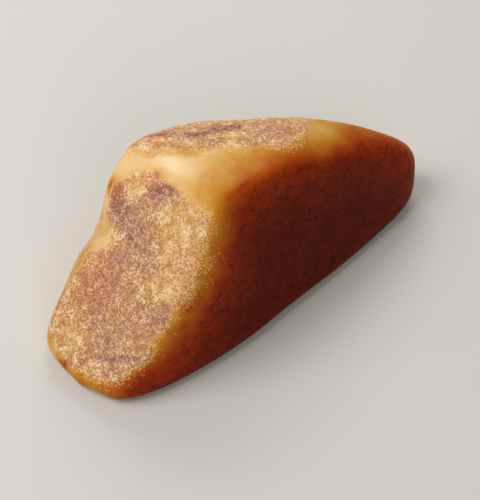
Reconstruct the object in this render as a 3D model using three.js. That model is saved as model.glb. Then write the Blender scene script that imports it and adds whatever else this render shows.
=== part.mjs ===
// Raw amber: one lump of natural resin, worn to a few soft-edged faces, lying on a flat underside.
// Millimetres, +Z up, the long way of the lump along +X.
import * as THREE from "three";
import { mergeVertices } from "three/addons/utils/BufferGeometryUtils.js";

// The inner point every face is measured from.
const innerPoint = new THREE.Vector3(-7, -3, 12.75);
// How far the edges between two faces are rounded over.
const edgeRounding = 1;
// The ground lies this far above the lowest level, so the underside is cut truly flat.
const groundTrim = 0.12;
// The net laid over the lump: splits along each side of a twenty-faced solid, then stretched.
const netSplits = 17;
const netStretch = new THREE.Vector3(33, 15, 14);
// The longest way out from the inner point that is searched, and how many times that is halved.
const farthestReach = 60;
const searchSteps = 40;
// Rounds of evening out the net, and how far a point goes each round towards the middle of its neighbours.
const eveningRounds = 30;
const eveningStep = 0.5;
// The small step that the skin's slope is read over.
const slopeStep = 0.01;

// The worn faces: heading round +Z, lift above level (both in degrees), distance from the inner point.
const wornFaces = [
  { name: "broad crusted face", heading: 192, lift: 43, distance: 14.8 },
  { name: "long dark face", heading: 277, lift: 17, distance: 11 },
  { name: "dark face, middle", heading: 264, lift: 9, distance: 12.8 },
  { name: "dark face, low end", heading: 251, lift: 4, distance: 17.8 },
  { name: "blunt corner", heading: 236, lift: 2, distance: 23.4 },
  { name: "low end tip", heading: 212, lift: -8, distance: 32.8 },
  { name: "low end side", heading: 172, lift: -4, distance: 32.8 },
  { name: "waxy top", heading: 40, lift: 84, distance: 16.4 },
  { name: "waxy shoulder", heading: 158, lift: 66, distance: 18.1 },
  { name: "crusted top strip", heading: 48, lift: 68, distance: 17.4 },
  { name: "glassy side", heading: 116, lift: 9, distance: 19 },
  { name: "back", heading: 57, lift: 16, distance: 21.2 },
  { name: "back corner", heading: 88, lift: 10, distance: 19.5 },
  { name: "sloping end, upper", heading: 8, lift: 36, distance: 35 },
  { name: "rounded end", heading: 335, lift: -8, distance: 43.6 },
  { name: "sloping end, top", heading: 330, lift: 60, distance: 20.2 },
  { name: "underside", heading: 320, lift: -90, distance: 12.75 },
];

// Shallow hollows: centre, size each way, and depth; a negative depth is a swelling.
const hollows = [
  { name: "nick in the side", at: [-22, 8, 19], size: [4.5, 4, 5], depth: 1.6 },
  { name: "dip in the dark face", at: [0, -15, 4], size: [10, 6, 7], depth: 0.6 },
  { name: "scoop in the back", at: [5, 15, 13], size: [9, 6, 7], depth: 0.9 },
  { name: "lump on the back", at: [-13, 15, 8], size: [7, 5, 5], depth: -0.6 },
  { name: "full low end", at: [-32, -9, 3.5], size: [11, 14, 4.5], depth: -0.6 },
];

function outwardOf(face) {
  const heading = THREE.MathUtils.degToRad(face.heading);
  const lift = THREE.MathUtils.degToRad(face.lift);
  const level = Math.cos(lift);
  return new THREE.Vector3(
    level * Math.cos(heading),
    level * Math.sin(heading),
    Math.sin(lift),
  );
}

const outwards = wornFaces.map(outwardOf);

// How deep a hollow bites at a point, fading smoothly away from its centre.
function bite(hollow, point) {
  const x = (point.x - hollow.at[0]) / hollow.size[0];
  const y = (point.y - hollow.at[1]) / hollow.size[1];
  const z = (point.z - hollow.at[2]) / hollow.size[2];
  return hollow.depth * Math.exp(-(x * x + y * y + z * z));
}

// Negative inside the lump, positive outside: the faces blended into one rounded skin.
function outsideness(point) {
  const fromInner = point.clone().sub(innerPoint);
  let blend = 0;
  for (let i = 0; i < wornFaces.length; i += 1) {
    const past = fromInner.dot(outwards[i]) - wornFaces[i].distance;
    blend += Math.exp(past / edgeRounding);
  }
  let skin = edgeRounding * Math.log(blend);
  for (const hollow of hollows) {
    skin += bite(hollow, point);
  }
  return skin;
}

// The point of the skin met going straight out from the inner point, found by halving.
function skinPoint(direction) {
  let inside = 0;
  let outside = farthestReach;
  const point = new THREE.Vector3();
  for (let step = 0; step < searchSteps; step += 1) {
    const middle = (inside + outside) / 2;
    point.copy(innerPoint).addScaledVector(direction, middle);
    if (outsideness(point) < 0) {
      inside = middle;
    } else {
      outside = middle;
    }
  }
  return point;
}

// The neighbours of every point of the net, read from its triangles.
function neighboursOf(lump) {
  const corners = lump.index.array;
  const neighbours = [];
  for (let i = 0; i < lump.getAttribute("position").count; i += 1) {
    neighbours.push(new Set());
  }
  for (let i = 0; i < corners.length; i += 3) {
    for (let k = 0; k < 3; k += 1) {
      neighbours[corners[i + k]].add(corners[i + ((k + 1) % 3)]);
      neighbours[corners[i + k]].add(corners[i + ((k + 2) % 3)]);
    }
  }
  return neighbours;
}

// Which way is out of the skin at a point, from small steps along each axis.
function skinOutward(point) {
  const here = outsideness(point);
  const rise = new THREE.Vector3();
  for (const axis of ["x", "y", "z"]) {
    const ahead = point.clone();
    ahead[axis] += slopeStep;
    rise[axis] = outsideness(ahead) - here;
  }
  return rise.normalize();
}

// Evens out the net: each point moves towards the middle of its neighbours, then back onto the skin.
function evenOut(lump) {
  const positions = lump.getAttribute("position");
  const neighbours = neighboursOf(lump);
  const points = neighbours.map((_, i) => new THREE.Vector3().fromBufferAttribute(positions, i));
  for (let round = 0; round < eveningRounds; round += 1) {
    const middles = neighbours.map((around) => {
      const middle = new THREE.Vector3();
      around.forEach((j) => middle.add(points[j]));
      return middle.divideScalar(around.size);
    });
    points.forEach((point, i) => {
      point.lerp(middles[i], eveningStep);
      point.addScaledVector(skinOutward(point), -outsideness(point));
    });
  }
  points.forEach((point, i) => positions.setXYZ(i, point.x, point.y, point.z));
}

function buildLump() {
  const net = new THREE.IcosahedronGeometry(1, netSplits);
  net.deleteAttribute("normal");
  net.deleteAttribute("uv");
  const lump = mergeVertices(net, 1e-5);
  const positions = lump.getAttribute("position");
  const direction = new THREE.Vector3();
  for (let i = 0; i < positions.count; i += 1) {
    direction.fromBufferAttribute(positions, i).multiply(netStretch).normalize();
    const point = skinPoint(direction);
    positions.setXYZ(i, point.x, point.y, point.z);
  }
  return lump;
}

// Lays the lump on the ground with a truly flat underside and centres it over the origin.
function settle(lump) {
  const positions = lump.getAttribute("position");
  for (let i = 0; i < positions.count; i += 1) {
    positions.setZ(i, Math.max(0, positions.getZ(i) - groundTrim));
  }
  lump.computeBoundingBox();
  const middle = lump.boundingBox.getCenter(new THREE.Vector3());
  lump.translate(-middle.x, -middle.y, 0);
}

const lump = buildLump();
evenOut(lump);
settle(lump);
lump.computeVertexNormals();

const amber = new THREE.MeshStandardMaterial({
  color: 0x9c5a2c,
  roughness: 0.4,
  metalness: 0,
});

const stone = new THREE.Mesh(lump, amber);
stone.name = "amber_piece";

const group = new THREE.Group();
group.name = "raw_amber_piece";
group.add(stone);

export default group;
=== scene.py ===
import math

import bmesh
import bpy
import numpy as np
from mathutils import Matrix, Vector, noise


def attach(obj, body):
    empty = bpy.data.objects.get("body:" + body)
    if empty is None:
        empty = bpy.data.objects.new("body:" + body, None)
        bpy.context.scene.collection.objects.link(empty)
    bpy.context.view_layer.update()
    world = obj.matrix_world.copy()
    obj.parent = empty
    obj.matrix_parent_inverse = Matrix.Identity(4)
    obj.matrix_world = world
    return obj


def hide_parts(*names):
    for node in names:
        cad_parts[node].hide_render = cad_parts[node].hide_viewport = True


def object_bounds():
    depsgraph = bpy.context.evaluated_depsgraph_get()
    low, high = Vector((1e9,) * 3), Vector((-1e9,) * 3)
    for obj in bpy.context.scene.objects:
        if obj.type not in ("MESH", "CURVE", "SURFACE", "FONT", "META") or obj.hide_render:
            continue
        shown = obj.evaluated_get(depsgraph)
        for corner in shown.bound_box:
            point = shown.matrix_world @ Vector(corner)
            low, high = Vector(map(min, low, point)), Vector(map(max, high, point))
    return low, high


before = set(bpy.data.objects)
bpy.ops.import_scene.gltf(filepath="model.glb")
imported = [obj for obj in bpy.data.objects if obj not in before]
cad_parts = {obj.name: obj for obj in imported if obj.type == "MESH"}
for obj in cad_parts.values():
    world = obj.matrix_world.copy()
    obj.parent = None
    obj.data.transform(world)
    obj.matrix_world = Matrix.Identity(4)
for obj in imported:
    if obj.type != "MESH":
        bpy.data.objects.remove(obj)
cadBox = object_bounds()
boxMiddle = (Vector(cadBox[0]) + Vector(cadBox[1])) / 2
mm = 0.001  # everything below is written in millimetres and turned to metres with this


def linearColour(hexText):
    # an sRGB hex value turned to the linear colour that the shaders work in
    channels = []
    for start in (0, 2, 4):
        value = int(hexText[start:start + 2], 16) / 255
        channels.append(value / 12.92 if value <= 0.04045 else ((value + 0.055) / 1.055) ** 2.4)
    return (*channels, 1.0)


def addNode(tree, kind, inputs=None, stops=None, **settings):
    # a node with its settings, its input values or links, and the stops of a colour ramp
    node = tree.nodes.new("ShaderNode" + kind)
    for name, value in settings.items():
        setattr(node, name, value)
    for socket, value in (inputs or {}).items():
        if isinstance(value, bpy.types.NodeSocket):
            tree.links.new(value, node.inputs[socket])
        else:
            node.inputs[socket].default_value = value
    if stops:
        elements = node.color_ramp.elements
        while len(elements) < len(stops):
            elements.new(0.5)
        for element, (position, colour) in zip(elements, stops):
            element.position = position
            element.color = linearColour(colour)
    return node


def directionOf(heading, lift):
    # heading round +Z from +X and lift above level, in degrees
    turn = math.radians(heading)
    rise = math.radians(lift)
    return Vector((math.cos(rise) * math.cos(turn), math.cos(rise) * math.sin(turn), math.sin(rise)))


def newMaterial(name):
    material = bpy.data.materials.new(name)
    material.use_nodes = True
    material.node_tree.nodes.clear()
    return material


viewing = {
    "heading": -130,  # from the low front left
    "lift": 50,
    "distance": 200.7,
    "lens": 85,
    "target": (-4.62, -8.46, -1.94),  # from the middle of the lump
}


def placeCamera():
    camera = bpy.data.objects.new("camera", bpy.data.cameras.new("camera"))
    camera.data.lens = viewing["lens"]
    camera.data.clip_start = 0.01
    target = boxMiddle + Vector(viewing["target"]) * mm
    towards = directionOf(viewing["heading"], viewing["lift"])
    camera.location = target + towards * viewing["distance"] * mm
    camera.rotation_euler = towards.to_track_quat("Z", "Y").to_euler()
    bpy.context.collection.objects.link(camera)
    bpy.context.scene.camera = camera


placeCamera()
print("camera placed")


studio = {
    "floorSize": 2400,
    "floorColour": "C6C3BC",
    "worldColour": "F4F1EA",
    "worldStrength": 0.28,
    # name: heading, lift, distance, width, height, watts
    "lights": {
        "big soft key": (152, 54, 450, 300, 300, 1.6),
        "rear softbox": (48, 40, 420, 260, 120, 0.75),
        "low front fill": (245, 30, 600, 300, 300, 0.9),
    },
}


def buildFloor():
    shape = bmesh.new()
    bmesh.ops.create_grid(shape, x_segments=1, y_segments=1, size=studio["floorSize"] * mm / 2)
    bmesh.ops.translate(shape, vec=(0, 0, cadBox[0][2]), verts=shape.verts)
    floor = bpy.data.objects.new("floor", bpy.data.meshes.new("floor"))
    shape.to_mesh(floor.data)
    shape.free()
    bpy.context.collection.objects.link(floor)
    # card with a matt coat, rolled flat: an even pale ground with no gloss
    material = newMaterial("matt card")
    tree = material.node_tree
    card = addNode(tree, "BsdfPrincipled", {
        "Base Color": linearColour(studio["floorColour"]),
        "Roughness": 0.9,
    })
    addNode(tree, "OutputMaterial", {"Surface": card.outputs[0]})
    floor.data.materials.append(material)


def placeLights():
    for name, (heading, lift, distance, width, height, watts) in studio["lights"].items():
        lamp = bpy.data.lights.new(name, "AREA")
        lamp.shape = "RECTANGLE"
        lamp.size = width * mm
        lamp.size_y = height * mm
        lamp.energy = watts
        light = bpy.data.objects.new(name, lamp)
        towards = directionOf(heading, lift)
        light.location = boxMiddle + towards * distance * mm
        light.rotation_euler = towards.to_track_quat("Z", "Y").to_euler()
        bpy.context.collection.objects.link(light)
    world = bpy.data.worlds.new("soft room")
    world.use_nodes = True
    background = world.node_tree.nodes["Background"]
    background.inputs["Color"].default_value = linearColour(studio["worldColour"])
    background.inputs["Strength"].default_value = studio["worldStrength"]
    bpy.context.scene.world = world
    bpy.context.scene.view_settings.view_transform = "Standard"


buildFloor()
placeLights()
print("floor and lights placed")


amber = {
    "smoothing": 2,  # rounds of subdivision

    # Each patch is an outline drawn on one face: the face's heading and lift, the point that it is
    # measured from, and its corners as (across, up), with the corners rounded off later. It holds
    # on that face only, within its reach. A crust stands above the skin round it by its step, and
    # the looser its outline the further it wanders.
    "crustPatches": {
        "broad face": {
            "heading": 192, "lift": 43, "at": (-25, -4, 15), "reach": 8, "step": 0.1, "loose": 0,
            "outline": [
                (-11, 12.5), (-9, 15), (-5.5, 13), (-4.5, 17.5), (-1, 19), (3, 18), (6.5, 18), (9, 17.5),
                (10, 13), (10.6, 9), (10.3, 3), (9.7, -4), (8.9, -9.5), (7.2, -14), (4, -16.5),
                (-3, -17.5), (-8, -16), (-12.5, -12), (-11.5, -7), (-9, 0), (-9.5, 5), (-9.5, 9),
            ],
        },
        "top strip": {
            "heading": 48, "lift": 78, "at": (4, 4, 26), "reach": 5, "step": 0.28, "loose": 0.8,
            "outline": [
                (-13.3, -1.5), (-12.2, 1), (-10, 3.4), (-7.5, 5.7), (-4, 6.1), (0, 6), (5, 7.6),
                (12, 7.8), (18, 6), (17, 0), (13, -7), (5, -11), (-7, -11), (-13.5, -8),
            ],
        },
        "over the back edge": {
            "heading": 57, "lift": 16, "at": (6, 16, 13), "reach": 7, "step": 0.1, "loose": 3,
            "outline": [
                (-17, 8), (-8, 11), (4, 12), (15, 11), (14, 7), (8, 4), (9, -2), (4, -7), (-2, -8),
                (-5, -4), (-10, -5), (-12, 1), (-16, 3),
            ],
        },
        "low on the back corner": {
            "heading": 95, "lift": 5, "at": (-10, 17, 5), "reach": 6, "step": 0.1, "loose": 3,
            "outline": [(-6, -6), (-5, 0), (0, 2), (6, 1), (9, -3), (8, -8), (-3, -9)],
        },
        "underneath": {
            "heading": 20, "lift": -89, "at": (-6, 2, 0), "reach": 3, "step": 0, "loose": 4,
            "outline": [(-10, -12), (-7, 4), (0, 10), (8, 12), (9, 0), (5, -12), (-2, -18)],
        },
    },
    "darkSkinAndShadePatches": {
        # The long face's deep red is partly its oxidised skin and partly painted shade, as it faces away
        # from the light; its outline runs far below the foot so that its lower right is painted darker
        # still.
        "long face": {
            "heading": 277, "lift": 50, "at": (5, -12, 15), "reach": 18,
            "outline": [
                (-18.5, 5), (-16, 8), (-13.5, 10.2), (-11, 11.3), (-7.5, 11.7), (-3.5, 11.3), (0, 10.9),
                (6, 9.9), (12, 8.3), (17, 6.8), (22, 4.6), (27, 2), (31, -2.5), (33, -8), (33, -14),
                (22, -20), (0, -24), (-20, -20), (-30, -17), (-39, -14), (-40, -9), (-36, -6),
                (-31, -4.2), (-27, -2.4), (-23.5, 0), (-20.5, 2.2),
            ],
        },
        "back face": {
            "heading": 66, "lift": 12, "at": (2, 16, 10), "reach": 9,
            "outline": [
                (-31, -6), (-22, 0), (-14, 4), (-6, 2), (0, 5), (6, 9), (10, 6), (9, 0), (14, -3),
                (12, -9), (2, -13), (-16, -12), (-30, -11),
            ],
        },
    },
    "clearPatch": {
        "heading": 116, "lift": 9, "at": (-20, 10, 12), "reach": 8,
        "outline": [
            (0, 2), (2.5, 7), (6, 5.5), (9, 3.8), (12, 1.2), (14, -2), (16, -5), (18, -8), (16, -10.5),
            (10, -11), (4, -10), (-1, -6),
        ],
    },

    # Borders, in mm. Ragged noise moves each border in and out, and broad noise the loose ones.
    "crustRagged": 0.9,
    "darkRagged": 0.6,
    "clearWander": 1.5,
    "stepEdge": 0.7,  # half the width of the rise up to a crust
    "reliefEdge": 1.0,  # half the width over which the crust's own relief begins
    "clearEdge": (-2.0, 2.5),
    "crustSpan": 6,  # from no crust to the deepest that its mask can tell
    "ruddySpan": 24,

    # Elsewhere the skin is honey, clouded darker and paler; only the shoulder of the top is pale wax.
    "skin": {"middle": -4, "spread": 5, "waxAt": (-11, 4, 28), "waxSize": 11, "waxLift": 9},
    # Spots of paler skin, two of them painted glow on the ridge, and one of painted shade low on the
    # margin: place, size, mm of dark skin lost; below zero it is gained.
    "paleSkinGlowAndShadeSpots": {
        # painted glow of light through the thin ridge
        "ridge, top": ((-11, -11, 25), 4, 1.5),
        "ridge, middle": ((-13.5, -14, 18.5), 4, 1.5),
        "flake above the nick": ((-20.3, 7.1, 21.2), 1.4, 10),
        "under the nick": ((-23.3, 3.6, 18.4), 2.6, 9),
        "right of the top strip": ((17, -4.5, 23), 6, 3),
        # painted shade on the margin that faces down
        "low margin, darker": ((-33, -13, 4.5), 6, -3.2),
    },
    # Fine dark cracks in the skin: the points that each follows, its width, mm of dark skin added.
    "skinCracks": {
        "along the top of the long face": (
            [(-8, -9.6, 28.8), (-5.5, -9, 28.7), (-3.1, -8.6, 28.6)], 0.5, 1.4),
        "at the foot of the top strip": (
            [(-10.4, 7.7, 27.6), (-8.3, 5.1, 27.9), (-5.3, 2.3, 28)], 1.1, 4.5),
    },
    # Small knocks in the shape: place, size, mm proud (+) or sunk (-).
    "chips": {
        "nick on the left": ((-22.1, 5.8, 18.7), 1.7, -1.1),
        "shell below the nick": ((-23.5, 3.2, 18.0), 2.0, 0.35),
        "flake above the nick": ((-20.3, 7.1, 21.2), 1.0, 0.3),
    },

    # Crust worn away, and loose grains left on bare skin: place, size, mm of crust.
    "bareSpots": {
        "under the nick": ((-23.3, 3.6, 18.4), 1.9, 4.5),
    },
    "looseGrains": {
        "on the shoulder": ((-2.2, -3.4, 28.4), 2.2, 3.9),
        "right of the strip": ((19.5, -2.5, 22.3), 1.8, 3.9),
        "round the left horn": ((-16.6, 5.6, 26), 3.2, 4.5),
        "round the right horn": ((-13.6, 2.6, 27.8), 3.6, 4.5),
    },
    "looseClosed": 4,  # strength at which loose grains close up into a crust

    # Stain in the crust: the mauve away from any spot, and how much clouds and breaks vary it.
    "mauveBase": 0.3,
    "mauveClouds": 0.3,
    "streakShare": 0.75,
    "streakBreaks": 0.6,
    "rustClouds": 0.12,
    # Spots of mauve brown (+) or bleached to cream (-): place, size, strength.
    "mauveSpots": {
        "left horn": ((-18.8, 5, 23.8), 3.2, 0.7),
        "right horn": ((-14, 0, 27.3), 3.6, 0.8),
        "middle": ((-20.8, -0.6, 20.5), 5, 0.5),
        "below the middle": ((-19.7, -5, 21.2), 2.4, 0.3),
        "left side": ((-27.5, -0.5, 14), 5, 0.25),
        "cream low on the left": ((-34.5, -1, 7), 3.0, -0.35),
        "low right": ((-25, -11.3, 14), 3.6, 0.6),
        "right of the middle": ((-21.6, -7.5, 18.8), 2.0, 0.6),
        "lowest middle": ((-31, -5, 10), 4.5, 0.35),
        "low tip": ((-34, -11, 4.5), 4, 0.2),
        "top strip, middle": ((3, 5.5, 25.6), 2, 0.3),
        "top strip, right": ((9, 1.2, 25.2), 3, 0.4),
        "cream by the edge": ((-15.5, -7, 25), 4.6, -0.7),
        "cream in the middle": ((-21.8, -9.5, 18.5), 4.6, -0.6),
        "cream under the nick": ((-22.8, 3, 19), 2.2, -0.8),
        "cream between the horns": ((-16.3, 4, 26.2), 2.2, -0.9),
        "golden above the horns": ((-12.6, 4.6, 27.8), 3.0, -0.6),
    },
    # Long thin mauve stains: the points that each follows, its width and strength.
    "mauveStreaks": {
        "along the top strip": (
            [(-8, 12, 26.2), (-4.6, 9.6, 26.5), (-1, 6.2, 26.5), (2, 5.9, 25.8), (6, 4.6, 25)], 1.0, 1.0),
        "low on the broad face": (
            [(-34.2, -6.6, 6.2), (-32.9, -9.1, 6.9), (-31.1, -10.9, 8.1), (-29.8, -13, 8.6)], 0.45, 0.6),
    },
    # Spots where iron red shows through, in the crust and at its tips: place, size, strength.
    "rustSpots": {
        "left side": ((-28.0, 0, 13.5), 5.5, 0.6),
        "left horn tip": ((-17.9, 7.4, 24.7), 2.2, 1.0),
        "right horn tip": ((-13.6, 2.4, 27.7), 2.0, 0.8),
        "right edge of the broad face": ((-18.5, -11.5, 21.5), 3.2, 0.4),
        "tip of the top strip": ((-7.6, 12, 26.2), 1.7, 0.8),
        "clear spot at the low end": ((-38.3, -2.2, 2.4), 1.8, 1.0),
        "streak, upper": ((-32.5, -2.9, 8.4), 0.9, 0.6),
        "streak, middle": ((-33.4, -4.4, 7.3), 0.9, 0.7),
        "streak, lower": ((-34.2, -6.1, 6.2), 0.9, 0.6),
        "top strip, right": ((12, -2, 25), 4, 0.35),
    },

    # Cloudy noise: the size of its patches in mm, its seed and its octaves.
    "noises": {
        "ragged": (3.2, 4.0, 3),
        "broad": (8, 31.0, 2),
        "skin": (8, 17.0, 3),
        "mauve": (3.6, 11.0, 3),
        "streaks": (1.5, 23.0, 3),
        "rust": (6, 14.0, 3),
        "waves": (9, 2.0, 2),
        "lumps": (2.6, 5.0, 3),
        "grains": (0.9, 7.0, 2),
        "pits": (1.5, 9.0, 2),
        "ripples": (5, 21.0, 3),
    },
    # Relief, in mm proud or sunk.
    "waveDepth": 0.08,
    "lumpDepth": 0.11,
    "grainDepth": 0.085,
    "pitDepth": 0.16,
    "pitRange": (0.25, 0.7),  # noise below the first is no pit, above the second a full one
    "rippleDepth": 0.05,
    "rippleSpacing": 1.5,
    "rippleCrowding": 1.3,  # above 1 the ripples draw together further out
    "rippleWander": 1.5,
    "blowAt": (-17, 12, 24),  # the chipped side ripples outwards from here
    "groundClear": (0.2, 2.0),  # heights between which the relief begins, so the foot stays flat

    # Colours of the finish; each list of stops runs along its own mask or clouds.
    # The skin's stops run from pale wax to deep red: the oranges are partly painted glow of light through
    # thin edges, and the darkest reds partly painted shade.
    "skinGlowAndShadeStops": [
        (0.1, "E5C082"), (0.25, "D8A658"), (0.38, "BE7C1A"), (0.47, "B0560C"),
        (0.53, "A03C08"), (0.6, "8A2A06"), (0.74, "721E05"), (1.0, "581404"),
    ],
    "clearStops": [(0.35, "DC9C40"), (0.55, "EEBC68"), (0.7, "F4D49C")],
    "groundStops": [(0.0, "BC8642"), (0.25, "AC7A48"), (0.45, "AA7856"), (0.7, "A87866"), (1.0, "8E5A4C")],
    "grainStops": [(0.35, "D2A064"), (0.5, "E4B986"), (0.65, "EED0A8")],
    "crackColour": "260A04",
    "rustColour": "B4684A",
    "rustyGrainColour": "E4AA84",
    "stainedGrainColour": "D8A890",
    "rimColour": "E2AC5C",
    "strayColour": "E0B060",
    "depthColour": "F0B45A",  # of light that has gone through the resin
    # Sizes of the finish's patterns and the heights of its fine relief, in mm.
    "patternSizes": {
        "cloud": 5,
        "cloudlet": 0.8,
        "crazing": 2.2,
        "crazing bend": 1.2,
        "crazing breaks": 1.3,
        "grain cells": 0.27,
        "grain noise": 0.33,
        "mottle": 1.6,
    },
    "crazingBend": 1.2,  # how far the crazing is bent
    "fineRelief": {"cracks": 0.03, "peel": 0.05, "grains": 0.2, "grain domes": 0.1},
    # Strengths of the finish, as shares.
    "skinClouding": 0.1,
    "rustInSkin": 0.3,
    "crackWidth": 0.09,  # of a crazing cell
    "crackDark": 0.72,
    "crazingOnPale": 0.06,  # how much crazing shows outside the dark skin
    "cellShades": (0.7, 1.35),
    "grainCrispness": 0.32,  # share of sharp cells in the grains; the rest is soft noise
    "mottleAdds": 0.2,
    "rustRemoves": 0.08,
    "mauveRemoves": 0.17,
    "grainEdge": (0.42, 0.66),
    "grainStain": 0.6,
    "edgeFray": 0.9,
    "strayShow": 0.7,
    "roughness": {"skin": (0.34, 0.48), "clear": 0.16, "crust": 0.82},
    "shine": {"pale skin": 0.55, "dark skin": 0.02, "clear": 1.0, "crust": 0.0, "roughness": 0.26},
    "through": {"pale skin": 0.12, "dark skin": 0.06, "clear": 0.42, "crust": 0.0, "density": 150.0},
}


def faceAxes(patch):
    # across (to the right of someone facing it), up the face, and out of it
    outward = directionOf(patch["heading"], patch["lift"])
    across = Vector((0, 0, 1)).cross(outward).normalized()
    return np.array(across), np.array(outward.cross(across)), np.array(outward)


def roundOff(outline, rounds=3):
    # cuts every corner twice a round, so that a few points become a smooth closed line
    line = np.array(outline, float)
    for _ in range(rounds):
        following = np.roll(line, -1, axis=0)
        line = np.stack([line * 0.75 + following * 0.25, line * 0.25 + following * 0.75], 1).reshape(-1, 2)
    return line


def depthInside(points, patch):
    # how far inside the outline each point is, in mm; negative outside
    across, up, outward = faceAxes(patch)
    fromPatch = points - np.array(patch["at"], float)
    flat = np.stack([fromPatch @ across, fromPatch @ up], 1)
    line = roundOff(patch["outline"])
    nearest = np.full(len(flat), np.inf)
    inside = np.zeros(len(flat), bool)
    for start, end in zip(line, np.roll(line, -1, axis=0)):
        side = end - start
        share = np.clip(((flat - start) @ side) / (side @ side), 0, 1)
        gap = np.linalg.norm(flat - start - share[:, None] * side, axis=1)
        nearest = np.minimum(nearest, gap)
        crosses = (start[1] > flat[:, 1]) != (end[1] > flat[:, 1])
        level = (flat[:, 1] - start[1]) / (side[1] or 1e-9)  # a level side is never crossed
        inside ^= crosses & (flat[:, 0] < start[0] + level * side[0])
    depth = np.where(inside, nearest, -nearest)
    return np.minimum(depth, patch["reach"] - np.abs(fromPatch @ outward))


def smoothStep(values, low, high):
    share = np.clip((values - low) / (high - low), 0, 1)
    return share * share * (3 - 2 * share)


def noiseAt(points, name):
    # soft cloudy noise, about -1 to 1
    size, seed, octaves = amber["noises"][name]
    shift = Vector((seed, seed * 0.7, seed * 1.3))
    return np.array([noise.fractal(Vector(p) / size + shift, 0.6, 2.0, octaves) for p in points])


def spotsAt(points, spots):
    # soft round spots added up
    total = np.zeros(len(points))
    for place, size, strength in spots.values():
        away = np.linalg.norm(points - np.array(place), axis=1) / size
        total += strength * np.exp(-away * away)
    return total


def streaksAt(points, streaks):
    # soft lines added up
    total = np.zeros(len(points))
    for line, width, strength in streaks.values():
        nearest = np.full(len(points), np.inf)
        for start, end in zip(np.array(line[:-1]), np.array(line[1:])):
            side = end - start
            share = np.clip(((points - start) @ side) / (side @ side), 0, 1)
            nearest = np.minimum(nearest, np.linalg.norm(points - start - share[:, None] * side, axis=1))
        total += strength * np.exp(-(nearest / width) ** 2)
    return total


def paintMask(mesh, name, values):
    attribute = mesh.attributes.new(name, "FLOAT", "POINT")
    attribute.data.foreach_set("value", np.clip(values, 0, 1).astype(np.float32))


def smoothCopy(source, name):
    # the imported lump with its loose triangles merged, then smoothed to a fine even skin
    shape = bmesh.new()
    shape.from_mesh(source.data)
    bmesh.ops.remove_doubles(shape, verts=shape.verts, dist=1e-6)
    coarse = bpy.data.meshes.new(name + "_coarse")
    shape.to_mesh(coarse)
    shape.free()
    piece = bpy.data.objects.new(name, coarse)
    bpy.context.collection.objects.link(piece)
    smoothing = piece.modifiers.new("smoothing", "SUBSURF")
    smoothing.levels = amber["smoothing"]
    smoothing.render_levels = amber["smoothing"]
    finished = bpy.data.meshes.new_from_object(piece.evaluated_get(bpy.context.evaluated_depsgraph_get()))
    piece.modifiers.clear()
    piece.data = finished
    finished.name = name
    return piece


def crustAt(points, ragged, broad):
    # mm inside the crust, and how far the skin steps up to it
    depth = np.full(len(points), -np.inf)
    step = np.zeros(len(points))
    for patch in amber["crustPatches"].values():
        inPatch = depthInside(points, patch) + ragged * amber["crustRagged"] + broad * patch["loose"]
        depth = np.maximum(depth, inPatch)
        step += smoothStep(inPatch, -amber["stepEdge"], amber["stepEdge"]) * patch["step"]
    loose = spotsAt(points, amber["looseGrains"]) - amber["looseClosed"]
    return np.maximum(depth, loose) - spotsAt(points, amber["bareSpots"]), step


def darkSkinAndShadeAt(points, ragged):
    # mm inside the dark red skin, which on the long face is partly painted shade; elsewhere honey clouds,
    # and pale wax round one place
    depth = np.full(len(points), -np.inf)
    for patch in amber["darkSkinAndShadePatches"].values():
        depth = np.maximum(depth, depthInside(points, patch) + ragged * amber["darkRagged"])
    skin = amber["skin"]
    honey = skin["middle"] + noiseAt(points, "skin") * skin["spread"]
    fromWax = np.linalg.norm(points - np.array(skin["waxAt"]), axis=1) / skin["waxSize"]
    depth = np.maximum(depth, honey - skin["waxLift"] * np.exp(-fromWax ** 2))
    return depth + (streaksAt(points, amber["skinCracks"]) - spotsAt(points, amber["paleSkinGlowAndShadeSpots"]))


def reliefAt(points, crust, clear, step, ragged):
    # mm that each point moves out
    lumps = noiseAt(points, "lumps") * amber["lumpDepth"]
    grains = noiseAt(points, "grains") * amber["grainDepth"]
    pits = smoothStep(noiseAt(points, "pits"), *amber["pitRange"]) * amber["pitDepth"]
    fromBlow = np.linalg.norm(points - np.array(amber["blowAt"]), axis=1) + ragged * amber["rippleWander"]
    ripples = np.sin(fromBlow ** amber["rippleCrowding"] / amber["rippleSpacing"]) * amber["rippleDepth"]
    ripples *= 0.5 + noiseAt(points, "ripples")
    rise = noiseAt(points, "waves") * amber["waveDepth"] + step
    rise += crust * (lumps + grains - pits) + clear * (1 - crust) * ripples
    rise += spotsAt(points, amber["chips"])
    return rise * smoothStep(points[:, 2], *amber["groundClear"])


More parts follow.
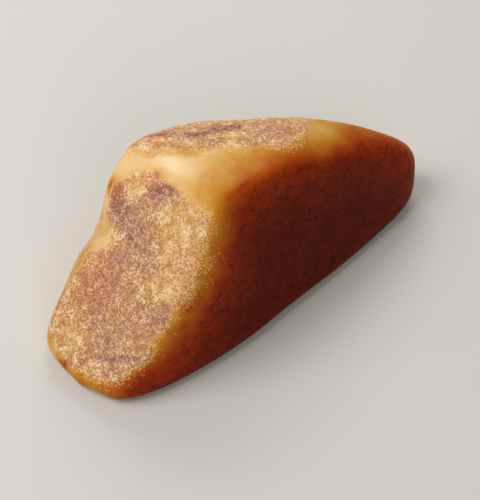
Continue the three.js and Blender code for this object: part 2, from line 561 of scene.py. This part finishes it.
def buildAmber():
    piece = smoothCopy(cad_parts["amber_piece"], "weathered_amber")
    mesh = piece.data
    count = len(mesh.vertices)
    points = np.empty(count * 3)
    mesh.vertices.foreach_get("co", points)
    points = points.reshape(-1, 3) / mm
    normals = np.empty(count * 3, np.float32)
    mesh.vertex_normals.foreach_get("vector", normals)
    normals = normals.reshape(-1, 3).astype(float)

    ragged = noiseAt(points, "ragged")
    broad = noiseAt(points, "broad")
    crustDepth, step = crustAt(points, ragged, broad)
    darkSkinAndShadeDepth = darkSkinAndShadeAt(points, ragged)
    clearDepth = depthInside(points, amber["clearPatch"]) + ragged + broad * amber["clearWander"]
    clear = smoothStep(clearDepth, *amber["clearEdge"])
    mauve = amber["mauveBase"] + spotsAt(points, amber["mauveSpots"])
    mauve += noiseAt(points, "mauve") * amber["mauveClouds"]
    broken = amber["streakShare"] + noiseAt(points, "streaks") * amber["streakBreaks"]
    mauve += streaksAt(points, amber["mauveStreaks"]) * broken
    rust = spotsAt(points, amber["rustSpots"]) + noiseAt(points, "rust") * amber["rustClouds"]

    crust = smoothStep(crustDepth, -amber["reliefEdge"], amber["reliefEdge"])
    points += normals * reliefAt(points, crust, clear, step, ragged)[:, None]
    mesh.vertices.foreach_set("co", (points * mm).ravel())
    mesh.update()
    for polygon in mesh.polygons:
        polygon.use_smooth = True

    # in these two masks one half is the border, and the whole range is the span in mm
    paintMask(mesh, "crust", 0.5 + crustDepth / amber["crustSpan"])
    paintMask(mesh, "ruddy", (darkSkinAndShadeDepth + amber["ruddySpan"] / 2) / amber["ruddySpan"])
    paintMask(mesh, "clear", clear)
    paintMask(mesh, "mauve", mauve)
    paintMask(mesh, "rust", rust)
    return piece


def amberMaterial():
    # Raw amber, worn by water and weathered by air: a waxy glow on the pale top, a deep red oxidised skin
    # with fine crazing, darkened with painted shade on the long face, and a dry grainy crust that has lost
    # its gloss.
    material = newMaterial("raw amber, water-worn and weathered")
    tree = material.node_tree
    place = addNode(tree, "TexCoord").outputs["Object"]
    crustArea = addNode(tree, "Attribute", attribute_name="crust").outputs["Fac"]
    ruddyArea = addNode(tree, "Attribute", attribute_name="ruddy").outputs["Fac"]
    clearArea = addNode(tree, "Attribute", attribute_name="clear").outputs["Fac"]
    mauveArea = addNode(tree, "Attribute", attribute_name="mauve").outputs["Fac"]
    rustArea = addNode(tree, "Attribute", attribute_name="rust").outputs["Fac"]
    scales = {name: 1 / (size * mm) for name, size in amber["patternSizes"].items()}

    # skin: from pale wax through honey and rust to the deep red face; the orange towards the dark border
    # is partly painted glow and the deepest reds partly painted shade
    cloud = addNode(tree, "TexNoise", {"Vector": place, "Scale": scales["cloud"], "Detail": 4.0})
    skinShift = addNode(tree, "Math", {0: cloud.outputs["Fac"], 1: -0.5}, operation="ADD")
    rusted = addNode(tree, "Math", {0: rustArea, 1: amber["rustInSkin"], 2: ruddyArea},
                     operation="MULTIPLY_ADD")
    skinDepth = addNode(tree, "Math", {0: skinShift.outputs[0], 1: amber["skinClouding"],
                                       2: rusted.outputs[0]}, operation="MULTIPLY_ADD")
    skin = addNode(tree, "ValToRGB", {"Fac": skinDepth.outputs[0]}, stops=amber["skinGlowAndShadeStops"])

    # crazing: short dark cracks round cells about 2 mm across, broken up so that no net closes
    darkOnly = addNode(tree, "MapRange", {"Value": ruddyArea, "From Min": 0.5, "From Max": 0.6,
                                          "To Min": amber["crazingOnPale"]})
    bend = addNode(tree, "TexNoise", {"Vector": place, "Scale": scales["crazing bend"], "Detail": 3.0})
    bendBy = (amber["crazingBend"] * mm,) * 3
    bent = addNode(tree, "VectorMath", {0: bend.outputs["Color"], 1: bendBy, 2: place},
                   operation="MULTIPLY_ADD")
    cells = addNode(tree, "TexVoronoi", {"Vector": bent.outputs[0], "Scale": scales["crazing"]},
                    feature="DISTANCE_TO_EDGE")
    crackLine = addNode(tree, "MapRange", {
        "Value": cells.outputs["Distance"], "From Min": 0.0, "From Max": amber["crackWidth"],
        "To Min": amber["crackDark"], "To Max": 0.0,
    })
    breaks = addNode(tree, "TexNoise", {"Vector": place, "Scale": scales["crazing breaks"], "Detail": 2.0})
    kept = addNode(tree, "MapRange", {"Value": breaks.outputs["Fac"], "From Min": 0.45, "From Max": 0.6})
    crack = addNode(tree, "Math", {0: crackLine.outputs[0], 1: kept.outputs[0]}, operation="MULTIPLY")
    crackDark = addNode(tree, "Math", {0: crack.outputs[0], 1: darkOnly.outputs[0]}, operation="MULTIPLY")

    # each crazing cell has its own shade, under small clouds
    cellShade = addNode(tree, "TexVoronoi", {"Vector": bent.outputs[0], "Scale": scales["crazing"]})
    cloudlet = addNode(tree, "TexNoise", {"Vector": place, "Scale": scales["cloudlet"], "Detail": 3.0,
                                          "Roughness": 0.65})
    cellValue = addNode(tree, "SeparateColor", {"Color": cellShade.outputs["Color"]})
    patchy = addNode(tree, "Math", {0: cellValue.outputs[0], 1: 0.25, 2: cloudlet.outputs["Fac"]},
                     operation="MULTIPLY_ADD")
    darkest, palest = amber["cellShades"]
    shadeAmount = addNode(tree, "MapRange", {"Value": patchy.outputs[0], "From Min": 0.35,
                                             "From Max": 0.9, "To Min": darkest, "To Max": palest})
    shadeWhere = addNode(tree, "Mix", {0: darkOnly.outputs[0], 2: 1.0, 3: shadeAmount.outputs[0]},
                         data_type="FLOAT")
    shaded = addNode(tree, "VectorMath", {0: skin.outputs["Color"], 3: shadeWhere.outputs[0]},
                     operation="SCALE")
    crazed = addNode(tree, "Mix", {0: crackDark.outputs[0], 6: shaded.outputs[0],
                                   7: linearColour(amber["crackColour"])}, data_type="RGBA")

    # crust: mauve brown and rusty ground under cream and golden grains, about 0.3 mm across
    grainCells = addNode(tree, "TexVoronoi", {"Vector": place, "Scale": scales["grain cells"]})
    grainTone = addNode(tree, "SeparateColor", {"Color": grainCells.outputs["Color"]})
    grain = addNode(tree, "TexNoise", {"Vector": place, "Scale": scales["grain noise"], "Detail": 2.0,
                                       "Roughness": 0.7})
    mottle = addNode(tree, "TexNoise", {"Vector": place, "Scale": scales["mottle"], "Detail": 3.0})
    mauveGround = addNode(tree, "ValToRGB", {"Fac": mauveArea}, stops=amber["groundStops"])
    ground = addNode(tree, "Mix", {0: rustArea, 6: mauveGround.outputs["Color"],
                                   7: linearColour(amber["rustColour"])}, data_type="RGBA")
    grainColour = addNode(tree, "ValToRGB", {"Fac": mottle.outputs["Fac"]}, stops=amber["grainStops"])
    rustyGrains = addNode(tree, "Mix", {0: rustArea, 6: grainColour.outputs["Color"],
                                        7: linearColour(amber["rustyGrainColour"])}, data_type="RGBA")
    stainedShare = addNode(tree, "MapRange", {"Value": mauveArea, "From Min": 0.35, "From Max": 0.9,
                                              "To Max": amber["grainStain"]})
    stainedGrains = addNode(tree, "Mix", {0: stainedShare.outputs[0], 6: rustyGrains.outputs[2],
                                          7: linearColour(amber["stainedGrainColour"])}, data_type="RGBA")
    # more grains where the mottle is high, and fewer where rust or mauve stains the ground
    grainMixed = addNode(tree, "Mix", {0: amber["grainCrispness"], 2: grain.outputs["Fac"],
                                       3: grainTone.outputs[0]}, data_type="FLOAT")
    grainRise = addNode(tree, "Math", {0: mottle.outputs["Fac"], 1: amber["mottleAdds"],
                                       2: grainMixed.outputs[0]}, operation="MULTIPLY_ADD")
    lessRusty = addNode(tree, "Math", {0: rustArea, 1: -amber["rustRemoves"], 2: grainRise.outputs[0]},
                        operation="MULTIPLY_ADD")
    lessMauve = addNode(tree, "Math", {0: mauveArea, 1: -amber["mauveRemoves"], 2: lessRusty.outputs[0]},
                        operation="MULTIPLY_ADD")
    grainLow, grainHigh = amber["grainEdge"]
    grainMask = addNode(tree, "MapRange", {"Value": lessMauve.outputs[0], "From Min": grainLow,
                                           "From Max": grainHigh})
    crustColour = addNode(tree, "Mix", {0: grainMask.outputs[0], 6: ground.outputs[2],
                                        7: stainedGrains.outputs[2]}, data_type="RGBA")

    # the crust ends in a ragged line with stray grains outside it
    fray = amber["edgeFray"]
    edgeShift = addNode(tree, "Math", {0: grain.outputs["Fac"], 1: fray, 2: -fray / 2},
                        operation="MULTIPLY_ADD")
    edged = addNode(tree, "Math", {0: crustArea, 1: edgeShift.outputs[0]}, operation="ADD")
    crustMask = addNode(tree, "MapRange", {"Value": edged.outputs[0], "From Min": 0.44, "From Max": 0.56})
    # the outermost grains are golden
    rim = addNode(tree, "MapRange", {"Value": crustArea, "From Min": 0.46, "From Max": 0.6,
                                     "To Min": 1.0, "To Max": 0.0})
    rimmed = addNode(tree, "Mix", {0: rim.outputs[0], 6: crustColour.outputs[2],
                                   7: linearColour(amber["rimColour"])}, data_type="RGBA")
    # stray golden grains lie on the skin, fewer and fewer up to 2 mm away
    strayChance = addNode(tree, "Math", {0: crustArea, 1: 0.5, 2: grainTone.outputs[1]},
                          operation="MULTIPLY_ADD")
    stray = addNode(tree, "MapRange", {"Value": strayChance.outputs[0], "From Min": 1.1, "From Max": 1.2,
                                       "To Max": amber["strayShow"]})
    strewn = addNode(tree, "Mix", {0: stray.outputs[0], 6: crazed.outputs[2],
                                   7: linearColour(amber["strayColour"])}, data_type="RGBA")
    surface = addNode(tree, "Mix", {0: crustMask.outputs[0], 6: strewn.outputs[2],
                                    7: rimmed.outputs[2]}, data_type="RGBA")
    clearBare = addNode(tree, "Mix", {0: crustMask.outputs[0], 2: clearArea, 3: 0.0}, data_type="FLOAT")
    # the chipped side is clear honey with paler veils
    clearColour = addNode(tree, "ValToRGB", {"Fac": cloud.outputs["Fac"]}, stops=amber["clearStops"])
    withClear = addNode(tree, "Mix", {0: clearBare.outputs[0], 6: surface.outputs[2],
                                      7: clearColour.outputs["Color"]}, data_type="RGBA")

    # gloss: waxy on the worn skin, dry on the crust
    rough = amber["roughness"]
    smoothest, dullest = rough["skin"]
    skinRough = addNode(tree, "MapRange", {"Value": cloud.outputs["Fac"], "From Min": 0.3, "From Max": 0.7,
                                           "To Min": smoothest, "To Max": dullest})
    bareRough = addNode(tree, "Mix", {0: clearArea, 2: skinRough.outputs[0], 3: rough["clear"]},
                        data_type="FLOAT")
    roughness = addNode(tree, "Mix", {0: crustMask.outputs[0], 2: bareRough.outputs[0],
                                      3: rough["crust"]}, data_type="FLOAT")

    # light goes through the clear side and partly through the skin, and not through the crust
    through = amber["through"]
    skinThrough = addNode(tree, "MapRange", {
        "Value": ruddyArea, "From Min": 0.2, "From Max": 0.6,
        "To Min": through["pale skin"], "To Max": through["dark skin"],
    })
    bareThrough = addNode(tree, "Mix", {0: clearArea, 2: skinThrough.outputs[0], 3: through["clear"]},
                          data_type="FLOAT")
    transmission = addNode(tree, "Mix", {0: crustMask.outputs[0], 2: bareThrough.outputs[0],
                                         3: through["crust"]}, data_type="FLOAT")

    # polish: the pale waxy skin and the clear side shine, the oxidised skin and the crust hardly do
    shine = amber["shine"]
    skinShine = addNode(tree, "MapRange", {
        "Value": ruddyArea, "From Min": 0.16, "From Max": 0.28,
        "To Min": shine["pale skin"], "To Max": shine["dark skin"],
    })
    bareShine = addNode(tree, "Mix", {0: clearArea, 2: skinShine.outputs[0], 3: shine["clear"]},
                        data_type="FLOAT")
    coat = addNode(tree, "Mix", {0: crustMask.outputs[0], 2: bareShine.outputs[0], 3: shine["crust"]},
                   data_type="FLOAT")

    # relief too fine for the mesh: crust grains, and the sunken crazing under a faint peel
    heights = {name: millimetres * mm for name, millimetres in amber["fineRelief"].items()}
    peel = addNode(tree, "Math", {0: cloudlet.outputs["Fac"], 1: heights["peel"]}, operation="MULTIPLY")
    sunk = addNode(tree, "Math", {0: crack.outputs[0], 1: -heights["cracks"], 2: peel.outputs[0]},
                   operation="MULTIPLY_ADD")
    grainDome = addNode(tree, "Math", {0: grainCells.outputs["Distance"], 1: -heights["grain domes"]},
                        operation="MULTIPLY")
    grainHeight = addNode(tree, "Math", {0: grain.outputs["Fac"], 1: heights["grains"],
                                         2: grainDome.outputs[0]}, operation="MULTIPLY_ADD")
    height = addNode(tree, "Mix", {0: crustMask.outputs[0], 2: sunk.outputs[0], 3: grainHeight.outputs[0]},
                     data_type="FLOAT")
    bump = addNode(tree, "Bump", {"Height": height.outputs[0], "Distance": 1.0, "Strength": 1.0})

    resin = addNode(tree, "BsdfPrincipled", {
        "Base Color": withClear.outputs[2],
        "Roughness": roughness.outputs[0],
        "IOR": 1.54,
        "Specular IOR Level": 0.02,
        "Coat Weight": coat.outputs[0],
        "Coat Roughness": shine["roughness"],
        "Transmission Weight": transmission.outputs[0],
        "Subsurface Weight": 0.25,
        "Subsurface Radius": (1.0, 0.4, 0.12),
        "Subsurface Scale": 1.5 * mm,
        "Normal": bump.outputs[0],
    })
    inside = addNode(tree, "VolumeAbsorption", {"Color": linearColour(amber["depthColour"]),
                                                "Density": through["density"]})
    addNode(tree, "OutputMaterial", {"Surface": resin.outputs[0], "Volume": inside.outputs[0]})
    return material


lump = buildAmber()
lump.data.materials.clear()
lump.data.materials.append(amberMaterial())
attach(lump, "root")
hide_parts("amber_piece")
print("amber shaped:", len(lump.data.polygons) * 2, "triangles")
